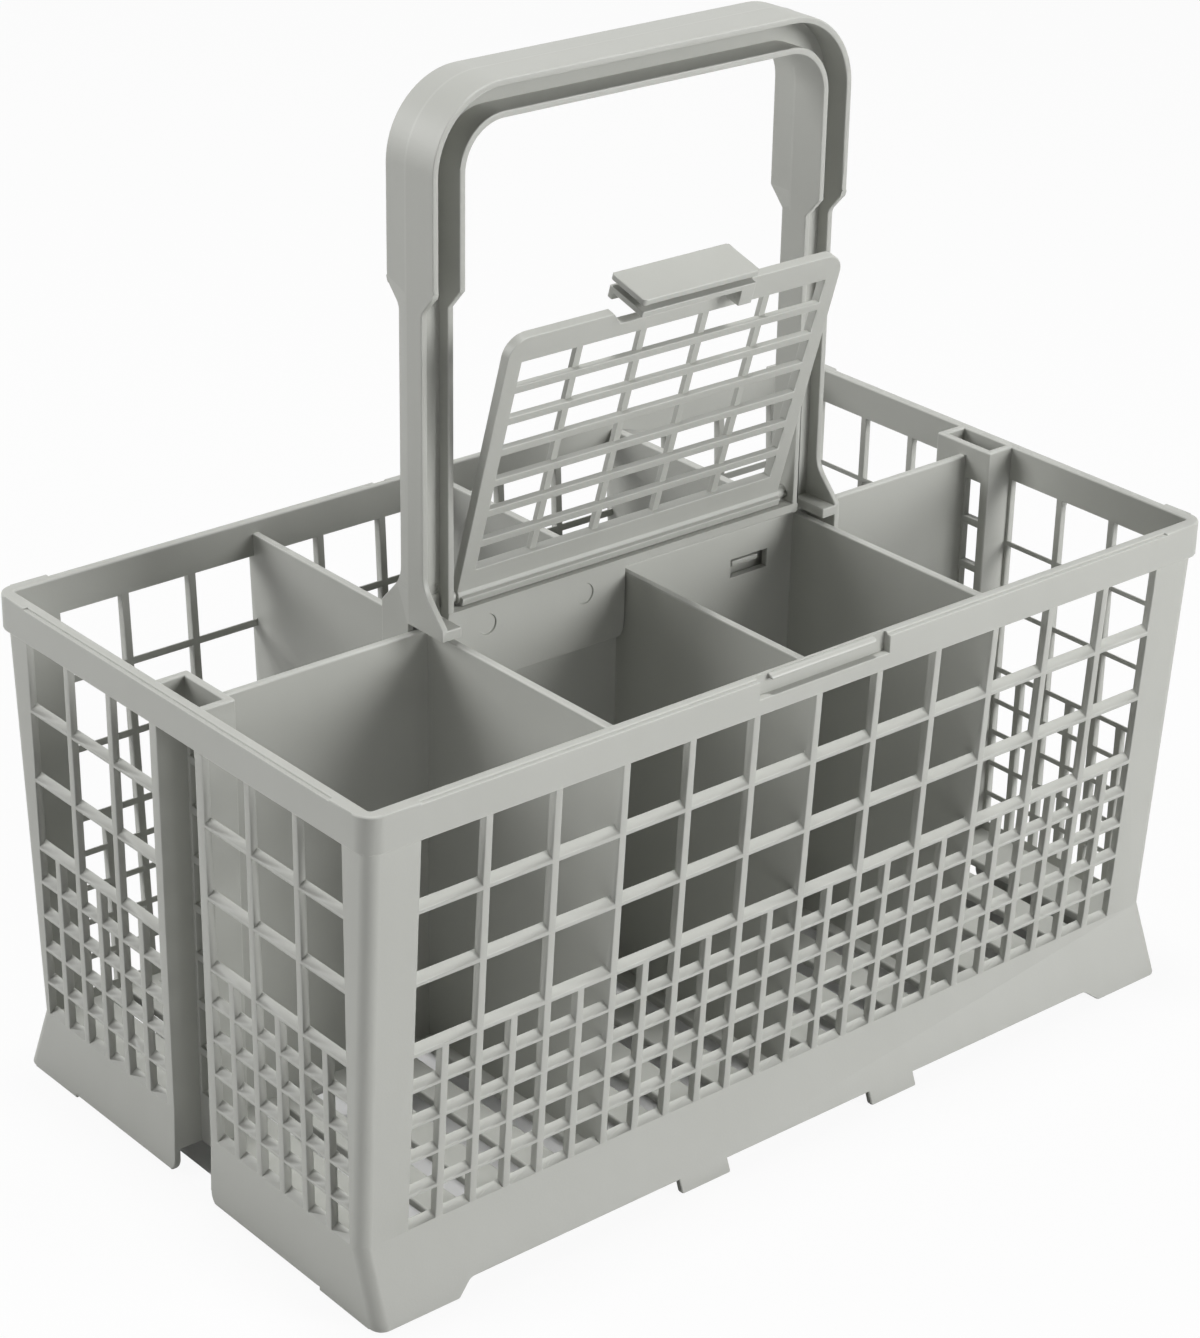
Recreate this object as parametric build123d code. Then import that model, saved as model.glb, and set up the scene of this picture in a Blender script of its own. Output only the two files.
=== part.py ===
import os

from build123d import *

# Rim of the basket
rim_length = 240.0
rim_width = 136.0
rim_height = 120.0
rim_band = 8.5
rim_shelf = 3.1
rim_corner = 4.5
rim_overhang = 1.4
rim_step = 1.0
rim_step_depth = 0.5

# Walls, waist, skirt and floor
wall = 2.05
wall_corner = 3.0
side_draft = 5.3
end_draft = 0.5
waist_height = 17.0
skirt_flare = 6.8
skirt_end_flare = 0.5
skirt_wall = 1.8
floor_top = 16.0
floor_thickness = 2.2

# Lattice of the walls
columns = 12
corner_post = 14.35
end_columns = 3
end_post = 10.3
rows = 3
first_row = 17.9
row_pitch = 17.0
small_rows = 5
upright = 1.9
bar_face = 0.7
sill_rise = 1.6

# Feet along the lower edge
foot_length = 22.5
foot_slope = 5.2
foot_rise = 3.0
foot_round = 3.0
tab_width = 14.2
tab_pitch = 57.4
end_foot = 21.0
end_foot_rise = 0.9

# Channels at both ends
channel_width = 14.0
channel_depth = 5.7
channel_wall = 1.9
channel_base = 6.0
channel_flare = 3.5
channel_window = 4.6
channel_rows = 8
channel_bar = 2.0
channel_post = 0.9

# Dividers and snap windows
divider_height = 117.0
divider = 1.9
centre_wall = 2.0
window_middle = 39.1
window_length = 11.2
window_base = 105.2
window_height = 4.5

# Latch pockets in the long rims
pocket_length = 37.4
pocket_height = 4.6
pocket_depth = 1.9
lip_length = 30.0
lip_height = 1.2
lip_reach = 1.5
lip_drop = 0.1
lip_root = 0.5

# Drain floor
drain_columns = 4
drain_slot = 5.4
drain_edge = 3.0

# Arch of the handle
arch_half = 57.8
arch_depth = 8.4
arch_top = 237.4
arch_beam = 8.2
arch_corner = 18.0
arch_inner_corner = 10.0
flange = 1.5
web = 1.8
grip_width = 15.9
leg_width = 7.8
grip_end = 194.5
leg_start = 190.0
leg_round = 3.0
gusset_top = 128.5
gusset_base = 121.2
gusset_round = 7.0
foot_base = 118.4
foot_width = 21.6
foot_plate = 2.4
foot_depth = 5.2

# Shelf and snap plates of the handle
shelf_top = 120.7
shelf_thickness = 2.0
shelf_width = 8.0
plate = 1.8
plate_base = 101.8
plate_round = 2.2
plate_gap = 1.4
plate_end_gap = 0.35
hook_length = 8.0
hook_shift = 1.2
hook_gap = 0.5
hook_reach = 3.1
hook_height = 3.6
hook_land = 1.2

# Hinge and lid
hinge_height = 122.6
lean = 16.3
pin_radius = 1.5
pin_length = 4.0
pin_clearance = 0.05
barrel_radius = 2.1
barrel_clearance = 0.4
lid_width = 93.4
lid_reach = 66.8
lid_thickness = 2.4
lid_corner = 5.0
lid_side = 4.0
lid_top = 6.2
lid_bottom = 6.7
lid_bars = 6
lid_bar = 2.0
lid_uprights = 4
lid_upright = 2.2
lid_layer = 1.4
heel_reach = 3.0
heel_drop = 1.05
heel_height = 1.9
heel_inset = 3.0

# Latch of the lid
notch_side = 3.5
notch_slope = 2.4
notch_depth = 2.9
arm_width = 31.8
arm_gap = 1.0
arm_thickness = 1.4
arm_reach = 5.65
arm_root = 3.8
latch_hook = 1.5
latch_hook_reach = 1.6
finger_width = 32.6
finger_depth = 11.3
finger_thickness = 1.4
finger_gap = 1.6
finger_neck = 26.0
finger_corner = 0.9

# Overshoot of cutting shapes past a face
past = 1.0


def tapered(base, top, base_height, top_height, radius):
    length0, width0 = base
    length1, width1 = top
    side = Polyline(
        (-width0 / 2, base_height),
        (width0 / 2, base_height),
        (width1 / 2, top_height),
        (-width1 / 2, top_height),
        close=True,
    )
    end = Polyline(
        (-length0 / 2, base_height),
        (length0 / 2, base_height),
        (length1 / 2, top_height),
        (-length1 / 2, top_height),
        close=True,
    )
    form = extrude(Plane.YZ * make_face(side), max(length0, length1), both=True)
    form &= extrude(Plane.XZ * make_face(end), max(width0, width1), both=True)
    corners = [e for e in form.edges() if abs((e @ 1).Z - (e @ 0).Z) > past]
    return fillet(corners, radius)


def block(x0, x1, y0, y1, z0, z1):
    middle = Pos((x0 + x1) / 2, (y0 + y1) / 2, (z0 + z1) / 2)
    return middle * Box(abs(x1 - x0), abs(y1 - y0), abs(z1 - z0))


def both_ends(shape):
    return [shape, Rot(0, 0, 180) * shape]


band_base = rim_height - rim_band
wall_length = rim_length - 2 * rim_overhang
wall_width = rim_width - 2 * rim_overhang
waist_length = wall_length - 2 * end_draft
waist_width = wall_width - 2 * side_draft
skirt_length = waist_length + 2 * skirt_end_flare
skirt_width = waist_width + 2 * skirt_flare
floor_base = floor_top - floor_thickness

# Outer form: skirt, tapered wall and rim band
skirt_size = (skirt_length, skirt_width)
waist_size = (waist_length, waist_width)
wall_size = (wall_length, wall_width)
shell = tapered(skirt_size, waist_size, 0, waist_height, wall_corner)
shell += tapered(waist_size, wall_size, waist_height, band_base, wall_corner)
band_outline = Pos(0, 0, band_base) * RectangleRounded(rim_length, rim_width, rim_corner)
shell += extrude(band_outline, rim_band)

# Inside of the basket, down to the floor
inner_length = rim_length - 2 * rim_shelf
inner_width = rim_width - 2 * rim_shelf
floor_length = waist_length - 2 * wall
floor_width = waist_width - 2 * wall
inner_corner = wall_corner - wall
floor_size = (floor_length, floor_width)
inner_size = (inner_length, inner_width)
shell -= tapered(floor_size, inner_size, floor_top, rim_height, inner_corner)

# Hollow of the skirt under the floor
under_share = floor_base / waist_height
under_length = skirt_length + (waist_length - skirt_length) * under_share - 2 * skirt_wall
under_width = skirt_width + (waist_width - skirt_width) * under_share - 2 * skirt_wall
hollow_size = (skirt_length - 2 * skirt_wall, skirt_width - 2 * skirt_wall)
shell -= tapered(hollow_size, (under_length, under_width), 0, floor_base, inner_corner)

# Lattice grid that the dividers share
lattice_half = rim_length / 2 - corner_post + upright / 2
column_pitch = 2 * lattice_half / columns
divider_pitch = 3 * column_pitch

# Channel walls at both ends
channel_hole = rim_length / 2 - rim_shelf - channel_depth
channel_face = channel_hole - channel_wall
channel_half = channel_width / 2
channel_side = channel_half + channel_wall
channel_root = rim_length / 2 - rim_shelf + wall / 2
channel = block(channel_face, channel_root, -channel_side, channel_side, channel_base, rim_height)

# Centre wall and cross dividers
centre_half = channel_face + channel_wall / 2
centre = block(-centre_half, centre_half, -centre_wall / 2, centre_wall / 2, floor_base, divider_height)
divider_share = (divider_height - floor_top) / (rim_height - floor_top)
divider_top = floor_width / 2 + (inner_width - floor_width) / 2 * divider_share + wall / 2
divider_foot = floor_width / 2 + wall / 2
divider_form = Polyline(
    (-divider_foot, floor_top - floor_thickness / 2),
    (divider_foot, floor_top - floor_thickness / 2),
    (divider_top, divider_height),
    (-divider_top, divider_height),
    close=True,
)
cross = extrude(Plane.YZ * make_face(divider_form), divider / 2, both=True)
crosses = [Pos(i * divider_pitch, 0, 0) * cross for i in (-1, 0, 1)]
basket = shell + both_ends(channel) + centre + crosses

# Channel mouths, open to the outside below the rim band
mouth = Pos(0, band_base / 2) * Rectangle(channel_width, band_base)
flare_block = Pos(0, channel_flare / 2) * Rectangle(channel_width + 2 * channel_flare, channel_flare)
flare_discs = [
    Pos(side * (channel_half + channel_flare), channel_flare) * Circle(channel_flare) for side in (-1, 1)
]
mouth += flare_block - flare_discs
mouth_cut = extrude(Plane.YZ.offset(channel_hole) * mouth, rim_length / 2 + past - channel_hole)
well_cut = block(
    channel_hole, channel_hole + channel_depth, -channel_half, channel_half, band_base - past, rim_height
)

# Step along the top of the rim, interrupted at the corners
step_base = rim_height - rim_step_depth
end_step_half = rim_width / 2 - end_post - 2 * rim_step
end_step = block(
    rim_length / 2 - rim_step, rim_length / 2 + past, -end_step_half, end_step_half, step_base, rim_height
)
side_step = block(
    -lattice_half, lattice_half, rim_width / 2 - rim_step, rim_width / 2 + past, step_base, rim_height
)

# Latch pocket with its lip
pocket_face = rim_width / 2 - pocket_depth
pocket = block(
    -pocket_length / 2,
    pocket_length / 2,
    pocket_face,
    rim_width / 2 + past,
    rim_height - pocket_height,
    rim_height,
)
lip_base = rim_height - lip_drop - lip_height
lip_form = Polyline(
    (pocket_face - lip_root, lip_base),
    (pocket_face + lip_reach, lip_base),
    (pocket_face + lip_reach, lip_base + lip_height / 2),
    (pocket_face + lip_reach / 2, lip_base + lip_height),
    (pocket_face - lip_root, lip_base + lip_height),
    close=True,
)
lip = extrude(Plane.YZ * make_face(lip_form), lip_length / 2, both=True)

# Lower edge of the long sides, raised between the feet and the tabs
edge_half = skirt_length / 2 - foot_length
edge_form = Polyline(
    (-edge_half - foot_slope, -foot_rise),
    (edge_half + foot_slope, -foot_rise),
    (edge_half - foot_slope / 2, foot_rise),
    (-edge_half + foot_slope / 2, foot_rise),
    close=True,
)
edge_face = make_face(edge_form)
edge_face = fillet(edge_face.vertices().group_by(Axis.Y)[-1], foot_round)
edge_cut = extrude(Plane.XZ * edge_face, rim_width, both=True)
tab = Pos(0, rim_width / 2, 0) * Box(tab_width, rim_width, 4 * foot_rise)
tabs = [Pos(i * tab_pitch / 2, 0, 0) * tab for i in (-1, 1)]
tabs += [Rot(0, 0, 180) * shape for shape in tabs]
edge_cut -= tabs
end_edge_half = skirt_width / 2 - end_foot
end_edge = block(
    rim_length / 2 - 2 * rim_shelf, rim_length / 2 + past, -end_edge_half, end_edge_half, 0, end_foot_rise
)

# Snap windows in the centre wall
window = block(
    window_middle - window_length / 2,
    window_middle + window_length / 2,
    -centre_wall,
    centre_wall,
    window_base,
    window_base + window_height,
)

basket -= both_ends(mouth_cut) + both_ends(well_cut)
basket -= both_ends(end_step) + both_ends(side_step) + both_ends(pocket)
basket -= [edge_cut] + both_ends(end_edge) + both_ends(window)
basket += both_ends(lip)

# Rows of the lattice, each as the underside of its bar and the top of its openings
top_bar = band_base - first_row
unders = [top_bar - i * row_pitch for i in range(rows)]
large_rows = list(zip(unders, [band_base] + unders[:-1]))
small_pitch = (unders[-1] - waist_height + bar_face) / small_rows
small_unders = [unders[-1] - (i + 1) * small_pitch for i in range(small_rows)]
small_rows_list = list(zip(small_unders, [unders[-1]] + small_unders[:-1]))


def opening_form(face, under, top):
    slope = sill_rise / wall
    outer = face + past
    inner = face - wall - past
    outer_sill = under + bar_face - slope * past
    inner_sill = under + bar_face + slope * (wall + past)
    outline = Polyline((outer, outer_sill), (outer, top), (inner, top), (inner, inner_sill), close=True)
    return make_face(outline)


def face_at(waist_face, top_face, z):
    share = (z - waist_height) / (band_base - waist_height)
    return waist_face + (top_face - waist_face) * share


def side_openings(under, top, pitch):
    face = face_at(waist_width / 2, wall_width / 2, (under + top) / 2)
    count = round(2 * lattice_half / pitch)
    form = Plane.YZ * opening_form(face, under, top)
    prism = extrude(form, (pitch - upright) / 2, both=True)
    return [Pos(-lattice_half + (i + 0.5) * pitch, 0, 0) * prism for i in range(count)]


def end_openings(under, top, pitch):
    face = face_at(waist_length / 2, wall_length / 2, (under + top) / 2)
    count = round((end_last - end_first) / pitch)
    form = Plane.XZ * opening_form(face, under, top)
    prism = extrude(form, (pitch - upright) / 2, both=True)
    places = [end_first + (i + 0.5) * pitch for i in range(count)]
    return [Pos(0, side * y, 0) * prism for y in places for side in (-1, 1)]


end_first = channel_side + channel_post - upright / 2
end_last = rim_width / 2 - end_post + upright / 2
end_pitch = (end_last - end_first) / end_columns
openings = []
for under, top in large_rows:
    openings += side_openings(under, top, column_pitch)
    openings += end_openings(under, top, end_pitch)
for under, top in small_rows_list:
    openings += side_openings(under, top, column_pitch / 2)
    openings += end_openings(under, top, end_pitch / 2)

# Column of openings on each side of the centre wall, in the inner face of each channel
window_y = (centre_wall / 2 + channel_half) / 2
window_pitch = (band_base - waist_height) / channel_rows
for i in range(channel_rows):
    top = band_base - i * window_pitch
    sill = top - window_pitch + channel_bar
    for y in (-window_y, window_y):
        y0 = y - channel_window / 2
        y1 = y + channel_window / 2
        openings.append(block(channel_face - past, channel_hole + past, y0, y1, sill, top))

# Slots of the drain floor
drain_pitch = divider_pitch / drain_columns
drain_near = centre_wall / 2 + drain_edge
drain_far = floor_width / 2 - drain_edge
for i in range(2 * drain_columns):
    x = (i + 0.5) * drain_pitch
    for side in (-1, 1):
        y0 = side * drain_near
        y1 = side * drain_far
        x0 = x - drain_slot / 2
        x1 = x + drain_slot / 2
        openings.append(block(x0, x1, y0, y1, floor_base - past, floor_top + past))

basket -= openings + [Rot(0, 0, 180) * shape for shape in openings]


def arch_face(half, top, radius):
    outline = Pos(0, (foot_base + top) / 2) * Rectangle(2 * half, top - foot_base)
    return fillet(outline.vertices().group_by(Axis.Y)[-1], radius)


# Arch of the handle: two flanges and the web between them
inner_half = arch_half - arch_depth
inner_top = arch_top - arch_beam
arch_outer = arch_face(arch_half, arch_top, arch_corner)
arch_outer_inside = arch_face(arch_half - flange, arch_top - flange, arch_corner - flange)
arch_inner_outside = arch_face(inner_half + flange, inner_top + flange, arch_inner_corner + flange)
arch_inner = arch_face(inner_half, inner_top, arch_inner_corner)
outer_flange = extrude(Plane.XZ * (arch_outer - arch_outer_inside), foot_width, both=True)
inner_flange = extrude(Plane.XZ * (arch_inner_outside - arch_inner), foot_width, both=True)
web_plate = extrude(Plane.XZ * (arch_outer_inside - arch_inner_outside), web / 2, both=True)


def side_view(base):
    leg = [
        (leg_width / 2, leg_start),
        (grip_width / 2, grip_end),
        (grip_width / 2, arch_top + past),
    ]
    half_view = base + leg
    mirror_view = [(-y, z) for y, z in reversed(half_view)]
    face = make_face(Polyline(*half_view, *mirror_view, close=True))
    return face


def across(face):
    return extrude(Plane.YZ * face, 2 * arch_half, both=True)


# Wide grip and narrow legs; the outer flanges spread into gusseted feet
gusset = [
    (foot_width / 2, foot_base),
    (foot_width / 2, gusset_base),
    (leg_width / 2, gusset_top),
]
outer_view = side_view(gusset)
waists = [v for v in outer_view.vertices() if leg_start - past < v.Y < arch_top]
outer_view = fillet(waists, leg_round)
roots = [v for v in outer_view.vertices() if abs(v.Y - gusset_top) < past]
outer_view = fillet(roots, gusset_round)
inner_view = side_view([(leg_width / 2, foot_base)])
outer_flange &= across(outer_view)
inner_flange &= across(inner_view)
handle = outer_flange + inner_flange + web_plate

# Foot plates with their tongues, shelf with its rib on the centre wall, and snap plates
foot = block(
    arch_half - foot_depth, arch_half, -foot_width / 2, foot_width / 2, foot_base, foot_base + foot_plate
)
tongue_near = centre_wall / 2 + plate_end_gap
tongue = block(arch_half - flange, arch_half, -foot_width / 2, -tongue_near, plate_base, foot_base)
shelf_half = inner_half + flange
shelf = block(
    -shelf_half, shelf_half, -shelf_width / 2, shelf_width / 2, shelf_top - shelf_thickness, shelf_top
)
rib = block(-shelf_half, shelf_half, -web / 2, web / 2, divider_height, shelf_top - shelf_thickness / 2)
plate_outer = divider_pitch - divider / 2 - plate_gap
plate_inner = divider / 2 + plate_end_gap
plate_top = shelf_top - shelf_thickness / 2
plate_face = Pos((plate_outer + plate_inner) / 2, (plate_base + plate_top) / 2) * Rectangle(
    plate_outer - plate_inner, plate_top - plate_base
)
plate_corner = plate_face.vertices().group_by(Axis.Y)[0].sort_by(Axis.X)[0]
plate_face = fillet(plate_corner, plate_round)
snap_plate = extrude(Plane.XZ.offset(-shelf_width / 2) * plate_face, plate)
hook_root = shelf_width / 2 - plate
hook_top = window_base + window_height - hook_gap
hook_form = Polyline(
    (hook_root + plate / 2, hook_top),
    (hook_root - hook_reach, hook_top),
    (hook_root - hook_reach, hook_top - hook_land),
    (hook_root + plate / 2, hook_top - hook_height),
    close=True,
)
hook = extrude(Plane.YZ * make_face(hook_form), hook_length / 2, both=True)
hook = Pos(window_middle - hook_shift, 0, 0) * hook
handle += both_ends(foot) + both_ends(tongue) + [shelf, rib] + both_ends(snap_plate) + both_ends(hook)

# Trough for the hinge barrel and the two pin holes
trough = Pos(0, 0, hinge_height) * Rot(0, 90, 0) * Cylinder(
    barrel_radius + barrel_clearance, 2 * inner_half
)
pin_hole = Pos(inner_half, 0, hinge_height) * Rot(0, 90, 0) * Cylinder(
    pin_radius + pin_clearance, 2 * flange + pin_clearance
)
handle -= [trough] + both_ends(pin_hole)

# Lid, drawn upright with the hinge axis on the X axis and its front toward -Y
lid_half = lid_width / 2
lid_back = lid_thickness / 2
frame_face = Pos(0, lid_reach / 2) * Rectangle(lid_width, lid_reach)
frame_face = fillet(frame_face.vertices().group_by(Axis.Y)[-1], lid_corner)
opening_height = lid_reach - lid_top - lid_bottom
opening_width = lid_width - 2 * lid_side
frame_face -= Pos(0, lid_bottom + opening_height / 2) * Rectangle(opening_width, opening_height)
lid = extrude(Plane.XZ * frame_face, lid_back, both=True)
bar_pitch = (opening_height + lid_bar) / (lid_bars + 1)
upright_pitch = (opening_width + lid_upright) / (lid_uprights + 1)
for i in range(lid_bars):
    z = lid_bottom - lid_bar / 2 + (i + 1) * bar_pitch
    x = opening_width / 2 + lid_side / 2
    lid += block(-x, x, -lid_back, -lid_back + lid_layer, z - lid_bar / 2, z + lid_bar / 2)
for i in range(lid_uprights):
    x = -opening_width / 2 - lid_upright / 2 + (i + 1) * upright_pitch
    x0 = x - lid_upright / 2
    x1 = x + lid_upright / 2
    lid += block(x0, x1, lid_back - lid_layer, lid_back, lid_bottom / 2, lid_reach - lid_top / 2)

# Hinge barrel, pins and the heel that rests on the shelf
lid += Rot(0, 90, 0) * Cylinder(barrel_radius, lid_width)
lid += Rot(0, 90, 0) * Cylinder(pin_radius, lid_width + 2 * pin_length)
heel_half = lid_half - heel_inset
lid += block(-heel_half, heel_half, -heel_reach, 0, -heel_drop, heel_height - heel_drop)

# Latch: arm over a notch, held at one end, with its hook and finger plate
arm_half = arm_width / 2
arm_base = lid_reach + arm_gap
arm_top = arm_base + arm_thickness
notch_half = arm_half + notch_side
notch_base = lid_reach - notch_depth
notch_form = Polyline(
    (-notch_half, lid_reach),
    (notch_slope - notch_half, notch_base),
    (notch_half - notch_slope, notch_base),
    (notch_half, lid_reach),
    close=True,
)
lid -= extrude(Plane.XZ * make_face(notch_form), lid_back, both=True)
lid += block(arm_half - arm_root, arm_half, -arm_reach, lid_back, notch_base, arm_base)
lid += block(-arm_half, arm_half, -arm_reach, arm_reach, arm_base, arm_top)
lid += block(-arm_half, arm_half, arm_reach - latch_hook, arm_reach, arm_base - latch_hook_reach, arm_base)
finger_base = arm_top + finger_gap
neck_half = finger_neck / 2
lid += block(-neck_half, neck_half, -web / 2, web / 2, arm_top, finger_base)
finger = RectangleRounded(finger_width, finger_depth, finger_corner)
lid += extrude(Pos(0, 0, finger_base) * finger, finger_thickness)
lid = Pos(0, 0, hinge_height) * Rot(lean, 0, 0) * lid

os.makedirs("parts", exist_ok=True)
export_step(basket, "parts/basket.step")
export_step(handle, "parts/handle.step")
export_step(lid, "parts/lid.step")
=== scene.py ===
# %% [markdown]
# # A dishwasher cutlery basket
# The real object is a light grey moulded basket in three pieces: the basket with its lattice walls, an
# arched handle that snaps into the middle of it, and a small lattice lid that swings on two pins at the
# foot of the handle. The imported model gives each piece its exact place, so this lesson only refines it:
# eased edges, the marks that the mould leaves, a satin plastic, and soft light. Lengths on the object are
# written in millimetres, and MM turns them into Blender's metres.

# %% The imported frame
import math

import bmesh
import bpy
from mathutils import Matrix, Vector
from mathutils.bvhtree import BVHTree


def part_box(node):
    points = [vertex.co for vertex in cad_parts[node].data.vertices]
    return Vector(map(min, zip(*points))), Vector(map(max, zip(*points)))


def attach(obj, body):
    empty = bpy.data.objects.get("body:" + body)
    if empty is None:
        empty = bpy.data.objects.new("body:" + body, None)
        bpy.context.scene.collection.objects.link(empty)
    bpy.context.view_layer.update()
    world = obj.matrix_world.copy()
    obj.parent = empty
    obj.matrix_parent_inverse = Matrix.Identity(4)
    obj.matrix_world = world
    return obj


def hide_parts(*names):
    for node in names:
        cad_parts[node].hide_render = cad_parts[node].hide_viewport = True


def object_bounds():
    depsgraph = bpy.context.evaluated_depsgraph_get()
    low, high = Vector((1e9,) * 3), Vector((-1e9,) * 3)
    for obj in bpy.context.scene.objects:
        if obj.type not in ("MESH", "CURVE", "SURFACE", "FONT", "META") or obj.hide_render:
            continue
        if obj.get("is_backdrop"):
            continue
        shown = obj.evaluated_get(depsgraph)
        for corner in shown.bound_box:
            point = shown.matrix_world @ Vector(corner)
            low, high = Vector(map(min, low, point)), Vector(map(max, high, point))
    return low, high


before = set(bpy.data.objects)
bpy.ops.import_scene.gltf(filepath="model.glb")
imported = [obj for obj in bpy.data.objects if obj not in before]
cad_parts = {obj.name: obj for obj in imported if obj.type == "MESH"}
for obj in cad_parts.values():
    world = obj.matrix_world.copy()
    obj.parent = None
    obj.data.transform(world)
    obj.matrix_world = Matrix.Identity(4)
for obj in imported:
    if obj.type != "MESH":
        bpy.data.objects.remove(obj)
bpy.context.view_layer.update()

MM = 0.001
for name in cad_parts:
    low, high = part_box(name)
    print(name, "spans", [round(v / MM, 1) for v in high - low], "mm")

# %% [markdown]
# ## The camera
# The photograph looks down on one corner from the front left with a long lens. The three angles, the place
# and the focal length below put the corners of the model where the photograph shows them. A camera looks
# along its own -Z axis, so its three axes are set straight into its matrix.

# %% Camera
AZIMUTH, ELEVATION, ROLL = (math.radians(a) for a in (40.356, 25.537, 1.105))
CAMERA_PLACE = Vector((-462.33, -538.55, 430.41)) * MM
PHOTO_SIZE = (1200, 1338)
FOCAL_PIXELS = 3463.05
SENSOR_WIDTH = 36.0
NEAR_LIMIT = 0.01

forward = Vector((
    math.sin(AZIMUTH) * math.cos(ELEVATION),
    math.cos(AZIMUTH) * math.cos(ELEVATION),
    -math.sin(ELEVATION),
))
level = Vector((math.cos(AZIMUTH), -math.sin(AZIMUTH), 0))
right = Matrix.Rotation(-ROLL, 3, forward) @ level
upward = right.cross(forward)

lens = bpy.data.cameras.new("camera")
lens.sensor_width = SENSOR_WIDTH
lens.lens = FOCAL_PIXELS / max(PHOTO_SIZE) * SENSOR_WIDTH
lens.clip_start = NEAR_LIMIT
camera = bpy.data.objects.new("camera", lens)
bpy.context.scene.collection.objects.link(camera)
axes = Matrix((right, upward, -forward)).transposed()
camera.matrix_world = Matrix.Translation(CAMERA_PLACE) @ axes.to_4x4()
bpy.context.scene.camera = camera
print("lens", round(lens.lens, 2), "mm")

# %% [markdown]
# ## Writing shader sums as Python
# Node trees are easiest to read as arithmetic. The first class wraps one output socket, and its operators
# add Math nodes. The second class holds one node tree and makes every other node with a single method.

# %% Shader helpers
class Signal:
    """One output socket, which takes part in sums."""

    def __init__(self, tree, socket):
        self.tree = tree
        self.socket = socket

    def math(self, operation, first, second):
        node = self.tree.nodes.new("ShaderNodeMath")
        node.operation = operation
        for slot, value in zip(node.inputs, (first, second)):
            if isinstance(value, Signal):
                self.tree.links.new(value.socket, slot)
            else:
                slot.default_value = value
        return Signal(self.tree, node.outputs[0])

    def __add__(self, other):
        return self.math("ADD", self, other)

    def __radd__(self, other):
        return self.math("ADD", other, self)

    def __sub__(self, other):
        return self.math("SUBTRACT", self, other)

    def __rsub__(self, other):
        return self.math("SUBTRACT", other, self)

    def __mul__(self, other):
        return self.math("MULTIPLY", self, other)

    def __rmul__(self, other):
        return self.math("MULTIPLY", other, self)


class Finish:
    """The node tree of a material or a world, emptied first."""

    def __init__(self, owner):
        owner.use_nodes = True
        self.tree = owner.node_tree
        self.tree.nodes.clear()

    def add(self, kind, settings, sockets, output=0):
        node = self.tree.nodes.new(kind)
        for key, value in settings.items():
            setattr(node, key, value)
        for key, value in sockets.items():
            if isinstance(value, Signal):
                self.tree.links.new(value.socket, node.inputs[key])
            else:
                node.inputs[key].default_value = value
        return Signal(self.tree, node.outputs[output]) if node.outputs else None


def display(red, green, blue):
    """A colour as a screen shows it, from 0 to 255, as the linear colour a shader needs."""
    linear = [((v / 255 + 0.055) / 1.055) ** 2.4 for v in (red, green, blue)]
    return (*linear, 1.0)


# %% [markdown]
# ## Satin polypropylene
# The basket is moulded in pale grey polypropylene with a hint of green. It isn't one flat tone: the melt
# leaves broad soft clouds and faint streaks, and the steel of the mould leaves a very fine grain. The eased
# edges are a little smoother, and a painted highlight makes their colour a little lighter. Noise on Object
# coordinates gives the clouds, streaks and grain, and a face attribute that the edge work fills in gives the
# edges.

# %% The plastic
CLOUD_SCALE = 26.0
STREAK_SCALES = (150.0, 150.0, 11.0)
GRAIN_SCALE = 1900.0
CLOUD_SHARE, STREAK_SHARE, GRAIN_SHARE = 0.62, 0.3, 0.08
# A light grey painted on the eased edges and the parting lines as a highlight.
PAINTED_EDGE_LIGHT = (0.6, 0.6, 0.57, 1.0)
PAINTED_EDGE_SHARE = 0.1
GRAIN_ROUGHNESS, CLOUD_ROUGHNESS, EDGE_SMOOTHNESS = 0.1, 0.14, 0.06
RELIEF_STRENGTH = 0.12
RELIEF_HEIGHT = 0.00012
CLOUD_RELIEF = 0.6
PLASTIC_IOR = 1.49


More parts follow.
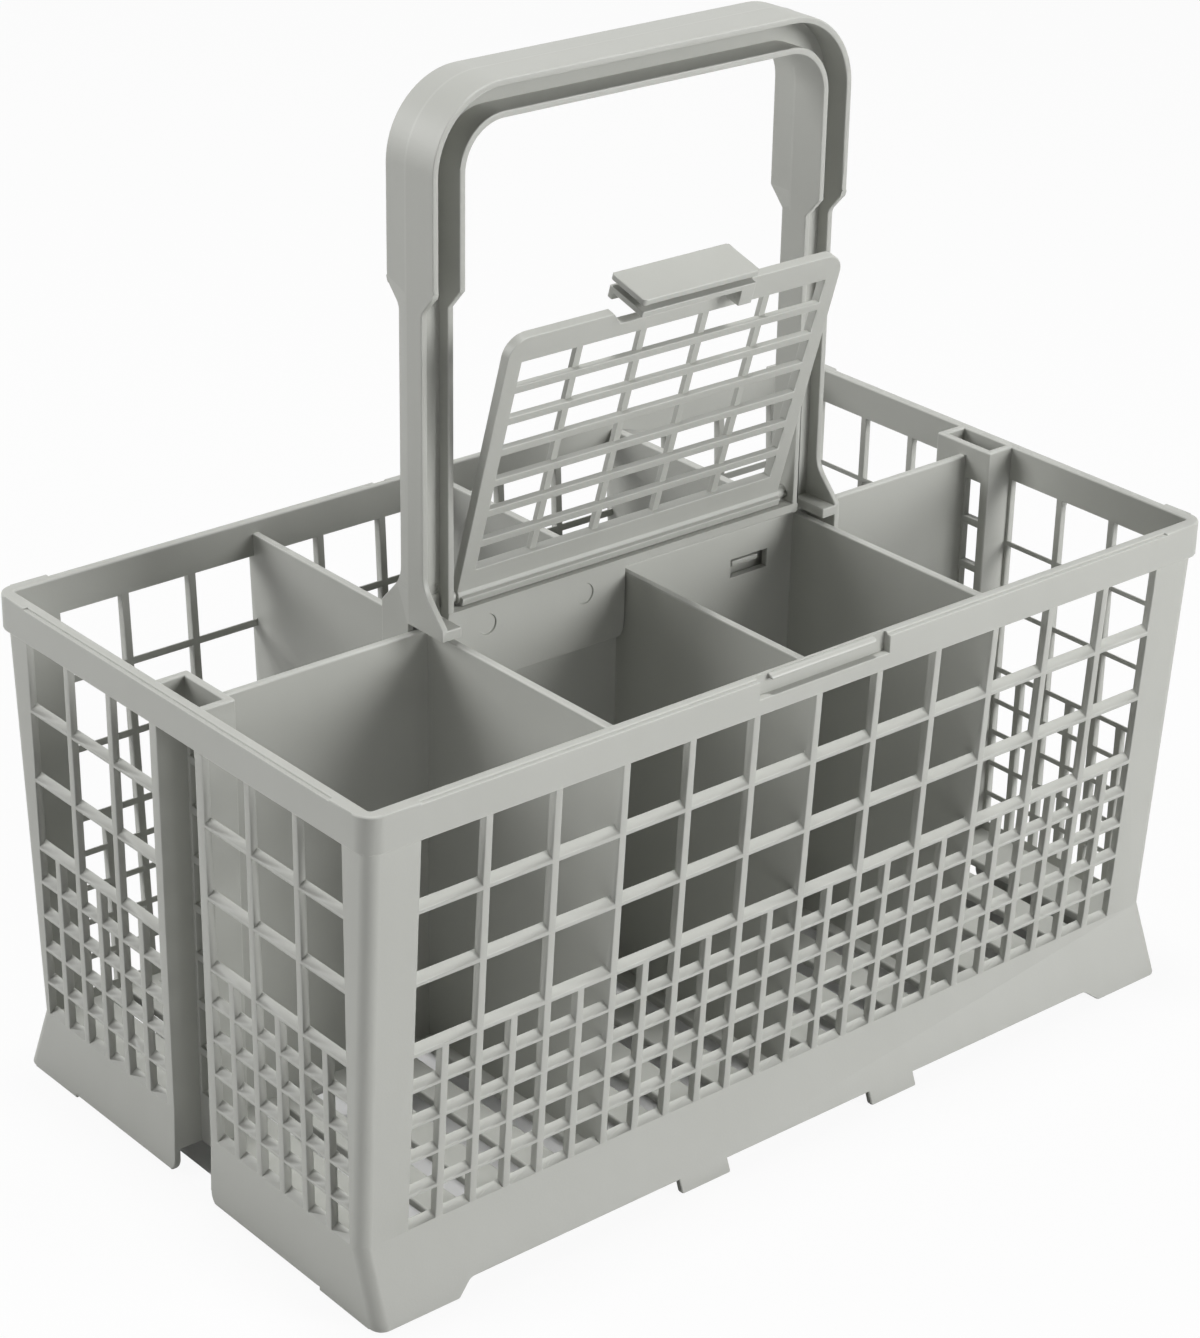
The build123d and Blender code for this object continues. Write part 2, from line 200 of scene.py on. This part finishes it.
def satin_plastic(name, pale, deep, gloss):
    material = bpy.data.materials.new(name)
    finish = Finish(material)
    place = finish.add("ShaderNodeTexCoord", {}, {}, "Object")
    cloud = finish.add(
        "ShaderNodeTexNoise", {}, {"Vector": place, "Scale": CLOUD_SCALE, "Detail": 3.0}, "Fac"
    )
    drawn = finish.add("ShaderNodeMapping", {}, {"Vector": place, "Scale": STREAK_SCALES})
    streak = finish.add("ShaderNodeTexNoise", {}, {"Vector": drawn, "Scale": 1.0, "Detail": 2.0}, "Fac")
    grain = finish.add(
        "ShaderNodeTexNoise", {}, {"Vector": place, "Scale": GRAIN_SCALE, "Detail": 2.0}, "Fac"
    )
    on_edge_strip = finish.add("ShaderNodeAttribute", {"attribute_name": "edge_strip"}, {}, "Fac")
    tone = cloud * CLOUD_SHARE + streak * STREAK_SHARE + grain * GRAIN_SHARE
    shade = finish.add(
        "ShaderNodeMix", {"data_type": "RGBA"}, {"Factor": tone, "A": deep, "B": pale}, "Result"
    )
    # Painted highlight: the colour of the eased edges and the parting lines is screened towards a lighter
    # grey.
    painted_edges = finish.add(
        "ShaderNodeMix",
        {"data_type": "RGBA", "blend_type": "SCREEN"},
        {"Factor": on_edge_strip * PAINTED_EDGE_SHARE, "A": shade, "B": PAINTED_EDGE_LIGHT},
        "Result",
    )
    uneven = (grain - 0.5) * GRAIN_ROUGHNESS + (cloud - 0.5) * CLOUD_ROUGHNESS
    rough = gloss + uneven - on_edge_strip * EDGE_SMOOTHNESS
    relief = finish.add(
        "ShaderNodeBump",
        {},
        {"Strength": RELIEF_STRENGTH, "Distance": RELIEF_HEIGHT, "Height": grain + cloud * CLOUD_RELIEF},
    )
    surface = finish.add(
        "ShaderNodeBsdfPrincipled",
        {},
        {"Base Color": painted_edges, "Roughness": rough, "Normal": relief, "IOR": PLASTIC_IOR},
    )
    finish.add("ShaderNodeOutputMaterial", {}, {"Surface": surface})
    return material


plastic = satin_plastic("satin_plastic", pale=display(184, 185, 180), deep=display(174, 175, 169), gloss=0.46)
print(plastic.name, "has", len(plastic.node_tree.nodes), "nodes")

# %% [markdown]
# ## Eased edges
# No moulded edge is truly sharp, and a thin light line along each edge is what makes plastic look real. A
# copy of the imported mesh is merged, and every sharp edge is bevelled: wide on the rim and the handle, fine
# on the lattice. Loop slide is off, because the mesh is triangles and a corner would slide along their
# diagonals. The new faces are marked for the painted highlight, which lightens their colour.

# %% Copying a imported mesh
MERGE_DISTANCE = 1e-6
FLAT_ANGLE = math.radians(0.2)


def moulding_from(node):
    form = bmesh.new()
    form.from_mesh(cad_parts[node].data)
    bmesh.ops.remove_doubles(form, verts=form.verts, dist=MERGE_DISTANCE)
    flat = [edge for edge in form.edges if edge.calc_face_angle() < FLAT_ANGLE]
    bmesh.ops.beautify_fill(form, faces=form.faces, edges=flat, method="ANGLE")
    form.faces.layers.float.new("edge_strip")
    print(node, "starts with", len(form.faces), "faces")
    return form


# %% Easing edges
SHARP_ANGLE = math.radians(35)
ROOM_PER_WIDTH = 2.4


def room_beside(edge):
    """How far the two faces of an edge reach away from it, the smaller of the two, in mm."""
    start, end = (vert.co for vert in edge.verts)
    along = (end - start).normalized()
    reach = []
    for face in edge.link_faces:
        away = [vert.co - start for vert in face.verts]
        reach.append(max((arm - along * arm.dot(along)).length for arm in away))
    return min(reach) / MM


def everywhere(p):
    return True


def nowhere(p):
    return False


def ease(form, width, segments, here=everywhere, spared=nowhere):
    """Bevels the sharp outer edges with both ends in one place and their middle out of a spared one."""
    strip_layer = form.faces.layers.float["edge_strip"]
    edges = []
    for edge in form.edges:
        if edge.calc_face_angle_signed() < SHARP_ANGLE or any(face[strip_layer] for face in edge.link_faces):
            continue
        start, end = (vert.co / MM for vert in edge.verts)
        wanted = here(start) and here(end) and not spared((start + end) / 2)
        if wanted and room_beside(edge) > ROOM_PER_WIDTH * width:
            edges.append(edge)
    made = bmesh.ops.bevel(
        form,
        geom=edges,
        offset=width * MM,
        offset_type="OFFSET",
        segments=segments,
        profile=0.5,
        affect="EDGES",
        clamp_overlap=False,
        loop_slide=False,
        material=-1,
    )
    # The new faces are marked: they get the painted edge highlight, and later easing and refilling leave them
    # out.
    for face in made["faces"]:
        face[strip_layer] = 1.0
    print("eased", len(edges), "edges by", width, "mm")


# %% [markdown]
# ## Mending flat faces
# A bevel that isn't clamped can fold a thin triangle of a flat face over its neighbours. Moving single points
# would be endless work, so a flat face with such a fold is taken out whole and filled again from its outline.
# Faces and edges are kept in lists and dictionaries, which have an order, so that each run fills them alike.

# %% Flat faces
SAME_PLANE = 0.99999


def flat_regions(form):
    """Groups of connected faces in one plane, leaving the eased edges out."""
    strip_layer = form.faces.layers.float["edge_strip"]
    left = dict.fromkeys(face for face in form.faces if not face[strip_layer])
    while left:
        region = [left.popitem()[0]]
        for face in region:
            beside = [other for edge in face.edges for other in edge.link_faces]
            for other in beside:
                if other in left and abs(other.normal.dot(face.normal)) > SAME_PLANE:
                    del left[other]
                    region.append(other)
        yield region


def take_out(form, faces):
    """Removes some faces with the edges between them, and gives the edges around them."""
    inside = set(faces)
    edges = list(dict.fromkeys(edge for face in faces for edge in face.edges))
    outline = [edge for edge in edges if len(inside.intersection(edge.link_faces)) == 1]
    bmesh.ops.delete(form, geom=faces, context="FACES_ONLY")
    bmesh.ops.delete(form, geom=[edge for edge in edges if not edge.link_faces], context="EDGES")
    return outline


def refill_folded(form):
    """Fills a flat region afresh from its outline where the bevel has folded one of its triangles."""
    count = 0
    for region in list(flat_regions(form)):
        facing = sum((face.normal * face.calc_area() for face in region), Vector())
        if len(region) < 2 or all(face.normal.dot(facing) > 0 for face in region):
            continue
        outline = take_out(form, region)
        bmesh.ops.triangle_fill(form, use_beauty=True, edges=outline, normal=facing.normalized())
        count += 1
    print("refilled", count, "flat regions")


# %% [markdown]
# ## From a form to a piece
# Smooth shading runs over the eased edges and breaks at the few that stay sharp. Weighted normals let the
# large faces set the shading, so that they look flat and only the narrow eased strips turn the light. Each
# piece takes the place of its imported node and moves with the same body.

# %% Making a piece
BROKEN_SHADING = math.radians(55)


def piece_from(form, name, body, node):
    refill_folded(form)
    for face in form.faces:
        face.smooth = True
    for edge in form.edges:
        edge.smooth = edge.calc_face_angle(0.0) < BROKEN_SHADING
    mesh = bpy.data.meshes.new(name)
    form.to_mesh(mesh)
    form.free()
    mesh.materials.append(plastic)
    piece = bpy.data.objects.new(name, mesh)
    bpy.context.scene.collection.objects.link(piece)
    even = piece.modifiers.new("even_shading", "WEIGHTED_NORMAL")
    even.weight = 100
    even.keep_sharp = True
    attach(piece, body)
    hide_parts(node)
    print(name, "has", sum(len(face.vertices) - 2 for face in mesh.polygons), "triangles")


# %% [markdown]
# ## The basket
# From inside, the lattice bars look slimmer than from outside, because their undersides rise towards the
# inside. The inner points of each underside are slid up the wall, which leans out a little, so every face
# stays flat. Then the edges are eased, wide on the rim and the skirt and fine elsewhere. The mouths of the
# latch pockets and the small rim steps have no room for a wide bevel, so they get the fine one.

# %% The undersides of the bars
UNDERSIDE_RISE = 0.75
LOWEST_BAR, HIGHEST_BAR = 20, 100
# Each wall's inner face: its distance from the middle at the foot, and how far it leans out per mm of height.
END_WALL = (115.919, 0.00817)
SIDE_WALL = (58.381, 0.05433)
ON_WALL = 0.05
FACING_DOWN = -0.99


def raise_undersides(form):
    verts = {vert for face in form.faces if face.normal.z < FACING_DOWN for vert in face.verts}
    count = 0
    for vert in verts:
        z = vert.co.z / MM
        for axis, (foot, lean) in enumerate((END_WALL, SIDE_WALL)):
            off = abs(vert.co[axis]) / MM - foot - lean * z
            if LOWEST_BAR < z < HIGHEST_BAR and abs(off) < ON_WALL:
                vert.co.z += UNDERSIDE_RISE * MM
                vert.co[axis] += math.copysign(lean * UNDERSIDE_RISE, vert.co[axis]) * MM
                count += 1
    form.normal_update()
    print("raised", count, "points under the bars")


# %% The basket
RIM_FOOT = 112
SKIRT_TOP = 16.5
RIM_END = 119
RIM_SIDE = 67
POCKET_FOOT = 115.3
POCKET_HALF = 18.8
STEP_FROM, STEP_TO = 112.5, 116


def on_the_outside(p):
    return p.z > RIM_FOOT or p.z < SKIRT_TOP or abs(p.x) > RIM_END or abs(p.y) > RIM_SIDE


def at_pocket_or_step(p):
    """The mouths of the latch pockets, and the ends of the small step beside two corners of the rim."""
    along = abs(p.x)
    at_place = along < POCKET_HALF or STEP_FROM < along < STEP_TO
    return abs(p.y) > RIM_SIDE and p.z > POCKET_FOOT and at_place


basket_form = moulding_from("basket")
raise_undersides(basket_form)
ease(basket_form, width=0.45, segments=2, here=on_the_outside, spared=at_pocket_or_step)
ease(basket_form, width=0.2, segments=1)
piece_from(basket_form, "basket_moulding", body="basket", node="basket")

# %% [markdown]
# ## The handle and its parting lines
# The two halves of the handle's mould meet along the middle of its outer and inner faces. Each half has a
# little draft, so a face is two faces that meet in a blunt crest, with a hair of flash standing on it. A line
# in the bump would be lost from the mesh, so the faces are cut there and the cut is pushed out. A face is an
# outer one when no point of the handle lies further out along its normal, and an inner one when it looks
# across the open arch. The inner line stops short of the faces with the pin holes, which have to stay flat.

# %% The two skins of the arch
ACROSS = 0.05
SKIN_DEPTH = 0.2
ARCH_FOOT = 128.0
ARCH_SPAN = 60.0
RAY_START = 0.1


def outer_faces(form):
    points = [vert.co for vert in form.verts]
    skin = []
    for face in form.faces:
        if abs(face.normal.y) < ACROSS:
            reach = max(point.dot(face.normal) for point in points)
            if face.calc_center_median().dot(face.normal) > reach - SKIN_DEPTH * MM:
                skin.append(face)
    return skin


def inner_faces(form):
    """The faces that look across the open arch, above the pin holes."""
    tree = BVHTree.FromBMesh(form)
    skin = []
    for face in form.faces:
        if abs(face.normal.y) < ACROSS and min(vert.co.z for vert in face.verts) > ARCH_FOOT * MM:
            start = face.calc_center_median() + face.normal * RAY_START * MM
            distance = tree.ray_cast(start, face.normal)[3]
            if distance and distance > ARCH_SPAN * MM:
                skin.append(face)
    return skin


# %% Parting lines
PARTING_Y = 1.2
FLASH_HALF = 0.3
CUT_DISTANCE = 1e-7


def cut_along(form, skin_of, y):
    """Cuts the faces of one skin along a plane across Y and gives the points of the cut."""
    skin = skin_of(form)
    edges = dict.fromkeys(edge for face in skin for edge in face.edges)
    verts = dict.fromkeys(vert for face in skin for vert in face.verts)
    made = bmesh.ops.bisect_plane(
        form, geom=[*verts, *edges, *skin], dist=CUT_DISTANCE, plane_co=(0, y * MM, 0), plane_no=(0, 1, 0)
    )
    return [item for item in made["geom_cut"] if isinstance(item, bmesh.types.BMVert)]


def push_out(form, verts, height):
    form.normal_update()
    for vert in verts:
        vert.co += vert.normal * height * MM


def parting_line(form, skin_of, draft, flash, to_the_ends):
    crest = cut_along(form, skin_of, PARTING_Y)
    if not to_the_ends:
        skin = set(skin_of(form))
        crest = [vert for vert in crest if skin.issuperset(vert.link_faces)]
    push_out(form, crest, draft)
    for side in (-1, 1):
        cut_along(form, skin_of, PARTING_Y + side * FLASH_HALF)
    push_out(form, crest, flash)
    # The faces on the crest get the painted edge highlight too.
    strip_layer = form.faces.layers.float["edge_strip"]
    for vert in crest:
        for face in vert.link_faces:
            face[strip_layer] = 1.0
    print("parting line through", len(crest), "points")


# %% [markdown]
# ## Pin marks
# The steel pins that push the handle out of its mould leave shallow round dishes: two on the snap plate and a
# small one above the left foot. The flat face that holds the mark is taken out and filled again around a
# circle, and the circle is extruded to a sunken floor. The wall of the dish is steep, because weighted
# normals would smooth a gentle one away.

# %% Pin marks
MARK_SEGMENTS = 32
WALL_SLOPE = 0.45
FACING_FRONT = -0.99
ON_FACE = 0.02


def front_face_at(form, place):
    for region in flat_regions(form):
        at_depth = abs(region[0].verts[0].co.y - place.y) < ON_FACE * MM
        if at_depth and region[0].normal.y < FACING_FRONT:
            if any(bmesh.geometry.intersect_face_point(face, place) for face in region):
                return region


def pin_mark(form, place, radius, depth):
    middle = Vector(place) * MM
    outline = take_out(form, front_face_at(form, middle))
    upright = Matrix.Translation(middle) @ Matrix.Rotation(math.pi / 2, 4, "X")
    circle = bmesh.ops.create_circle(form, segments=MARK_SEGMENTS, radius=radius * MM, matrix=upright)
    ring = list(dict.fromkeys(edge for vert in circle["verts"] for edge in vert.link_edges))
    bmesh.ops.triangle_fill(form, use_beauty=True, edges=outline + ring, normal=(0, -1, 0))
    sunk = bmesh.ops.extrude_edge_only(form, edges=ring)["geom"]
    floor_verts = [item for item in sunk if isinstance(item, bmesh.types.BMVert)]
    floor_edges = [
        item for item in sunk
        if isinstance(item, bmesh.types.BMEdge) and all(vert in floor_verts for vert in item.verts)
    ]
    for vert in floor_verts:
        vert.co = middle.lerp(vert.co, 1 - WALL_SLOPE * depth / radius) + Vector((0, depth * MM, 0))
    bmesh.ops.contextual_create(form, geom=floor_edges)
    form.normal_update()
    for face in {face for vert in floor_verts for face in vert.link_faces}:
        if face.normal.y > 0:
            face.normal_flip()
    print("pin mark of", 2 * radius, "mm at", place)


# %% The handle
handle_form = moulding_from("handle")
ease(handle_form, width=0.3, segments=2)
parting_line(handle_form, outer_faces, draft=0.1, flash=0.08, to_the_ends=True)
parting_line(handle_form, inner_faces, draft=0.14, flash=0.12, to_the_ends=False)
pin_mark(handle_form, (-40.3, -4.0, 115.4), radius=2.5, depth=0.35)
pin_mark(handle_form, (-12.9, -4.0, 115.1), radius=2.5, depth=0.35)
pin_mark(handle_form, (-52.4, -0.9, 126.0), radius=1.4, depth=0.25)
piece_from(handle_form, "handle_moulding", body="basket", node="handle")

# %% [markdown]
# ## The lid
# The lid's uprights are a little slimmer than its bars, and the heel along its barrel runs nearly to the legs
# of the handle. The sides of both stand at known distances along X, so their points are simply moved along X
# before the easing, which is finer than on the other pieces.

# %% The lid
UPRIGHTS = 4
UPRIGHT_PITCH = 17.52
UPRIGHT_HALF = 1.1
UPRIGHT_SLIM_HALF = 0.85
HEEL_HALF = 43.7
HEEL_LONG_HALF = 46.2
HEEL_TOP = 127.0
ON_SIDE = 0.02

lid_form = moulding_from("lid")
for place in range(UPRIGHTS):
    middle = (place - (UPRIGHTS - 1) / 2) * UPRIGHT_PITCH
    for vert in lid_form.verts:
        aside = vert.co.x / MM - middle
        if abs(abs(aside) - UPRIGHT_HALF) < ON_SIDE:
            vert.co.x = (middle + math.copysign(UPRIGHT_SLIM_HALF, aside)) * MM
for vert in lid_form.verts:
    if abs(abs(vert.co.x) / MM - HEEL_HALF) < ON_SIDE and vert.co.z / MM < HEEL_TOP:
        vert.co.x = math.copysign(HEEL_LONG_HALF, vert.co.x) * MM
ease(lid_form, width=0.22, segments=2)
piece_from(lid_form, "lid_moulding", body="lid", node="lid")

# %% [markdown]
# ## Floor and light
# The photograph has a white ground and soft light from the front right and from behind on the left, so the
# outside is bright while the compartments fall into shade. Two lamps do that, a third from above lights the
# rims, the pale floor throws light up on the outer walls, and the world adds very little. Is Camera Ray
# lifts what the camera sees of the floor to white, but not under the basket, which stays in its own shade.

# %% Floor
FLOOR_HALF = 4.0
FLOOR_DROP = 0.2
FLOOR_DEEP = (0.68, 0.68, 0.68, 1.0)
FLOOR_PALE = (0.72, 0.72, 0.72, 1.0)
WHITE = (1.0, 1.0, 1.0, 1.0)
UNDER_LENGTH, UNDER_WIDTH = 0.112, 0.06
LIFT_SHARE = 0.93

floor_form = bmesh.new()
bmesh.ops.create_grid(floor_form, x_segments=1, y_segments=1, size=FLOOR_HALF)
floor_mesh = bpy.data.meshes.new("floor")
floor_form.to_mesh(floor_mesh)
floor_form.free()
floor = bpy.data.objects.new("floor", floor_mesh)
floor.location.z = -FLOOR_DROP * MM
bpy.context.scene.collection.objects.link(floor)
floor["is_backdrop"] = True
pale_floor = bpy.data.materials.new("pale_floor")
ground = Finish(pale_floor)
spot = ground.add("ShaderNodeTexCoord", {}, {}, "Object")
speck = ground.add("ShaderNodeTexNoise", {}, {"Vector": spot, "Scale": 3.0, "Detail": 2.0}, "Fac")
pale = ground.add(
    "ShaderNodeMix", {"data_type": "RGBA"}, {"Factor": speck, "A": FLOOR_DEEP, "B": FLOOR_PALE}, "Result"
)
matt = ground.add("ShaderNodeBsdfPrincipled", {}, {"Base Color": pale, "Roughness": 0.9})
white = ground.add("ShaderNodeEmission", {}, {"Color": WHITE, "Strength": 1.0})
along = ground.add("ShaderNodeSeparateXYZ", {}, {"Vector": spot}, "X")
across = ground.add("ShaderNodeSeparateXYZ", {}, {"Vector": spot}, "Y")
in_length = ground.add("ShaderNodeMath", {"operation": "COMPARE"}, {0: along, 1: 0.0, 2: UNDER_LENGTH})
in_width = ground.add("ShaderNodeMath", {"operation": "COMPARE"}, {0: across, 1: 0.0, 2: UNDER_WIDTH})
seen = ground.add("ShaderNodeLightPath", {}, {}, "Is Camera Ray")
lift = seen * LIFT_SHARE * (1.0 - in_length * in_width)
shown = ground.add("ShaderNodeMixShader", {}, {0: lift, 1: matt, 2: white})
ground.add("ShaderNodeOutputMaterial", {}, {"Surface": shown})
floor_mesh.materials.append(pale_floor)
print(pale_floor.name, "has", len(pale_floor.node_tree.nodes), "nodes")

# %% World
WARM_FILL = (1.0, 0.95, 0.88, 1.0)
FILL_STRENGTH = 0.02

studio = bpy.data.worlds.new("studio")
bpy.context.scene.world = studio
air = Finish(studio)
straight = air.add("ShaderNodeLightPath", {}, {}, "Is Camera Ray")
mirrored = air.add("ShaderNodeLightPath", {}, {}, "Is Glossy Ray")
through = air.add("ShaderNodeLightPath", {}, {}, "Is Transmission Ray")
dim = air.add("ShaderNodeBackground", {}, {"Color": WARM_FILL, "Strength": FILL_STRENGTH})
bright = air.add("ShaderNodeBackground", {}, {"Color": WHITE, "Strength": 1.0})
sky = air.add("ShaderNodeMixShader", {}, {0: straight + mirrored + through, 1: dim, 2: bright})
air.add("ShaderNodeOutputWorld", {}, {"Surface": sky})
bpy.context.scene.view_settings.view_transform = "Standard"
print(studio.name, "has", len(studio.node_tree.nodes), "nodes")

# %% Lamps
LAMP_AIM = Vector((0, 0, 0.09))


def soft_lamp(name, toward, distance, size, level):
    """A round lamp that lights a face turned to it to the given level, where 1 shows a colour as written."""
    lamp = bpy.data.lights.new(name, "AREA")
    lamp.shape = "DISK"
    lamp.size = size
    lamp.energy = level * (math.pi * distance) ** 2
    made = bpy.data.objects.new(name, lamp)
    bpy.context.scene.collection.objects.link(made)
    aim = Vector(toward).normalized()
    made.location = LAMP_AIM + aim * distance
    made.rotation_mode = "QUATERNION"
    made.rotation_quaternion = aim.to_track_quat("Z", "Y")
    print(name, round(lamp.energy, 1), "W")


soft_lamp("front_lamp", toward=(0.45, -0.85, 0.3), distance=1.4, size=0.7, level=0.77)
soft_lamp("back_lamp", toward=(-0.85, 0.65, 0.5), distance=2.0, size=1.1, level=0.54)
soft_lamp("high_lamp", toward=(0.0, 0.05, 1.0), distance=2.2, size=0.4, level=0.64)

# %% [markdown]
# ## Sizes
# The spans of the imported parts are printed at the start, and here the lowest and highest corners of the
# box of the finished pieces are printed.

# %% Sizes, and the end
visual_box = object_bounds()
for low_or_high, corner in zip(("lowest", "highest"), visual_box):
    print(low_or_high, [round(v / MM, 2) for v in corner])
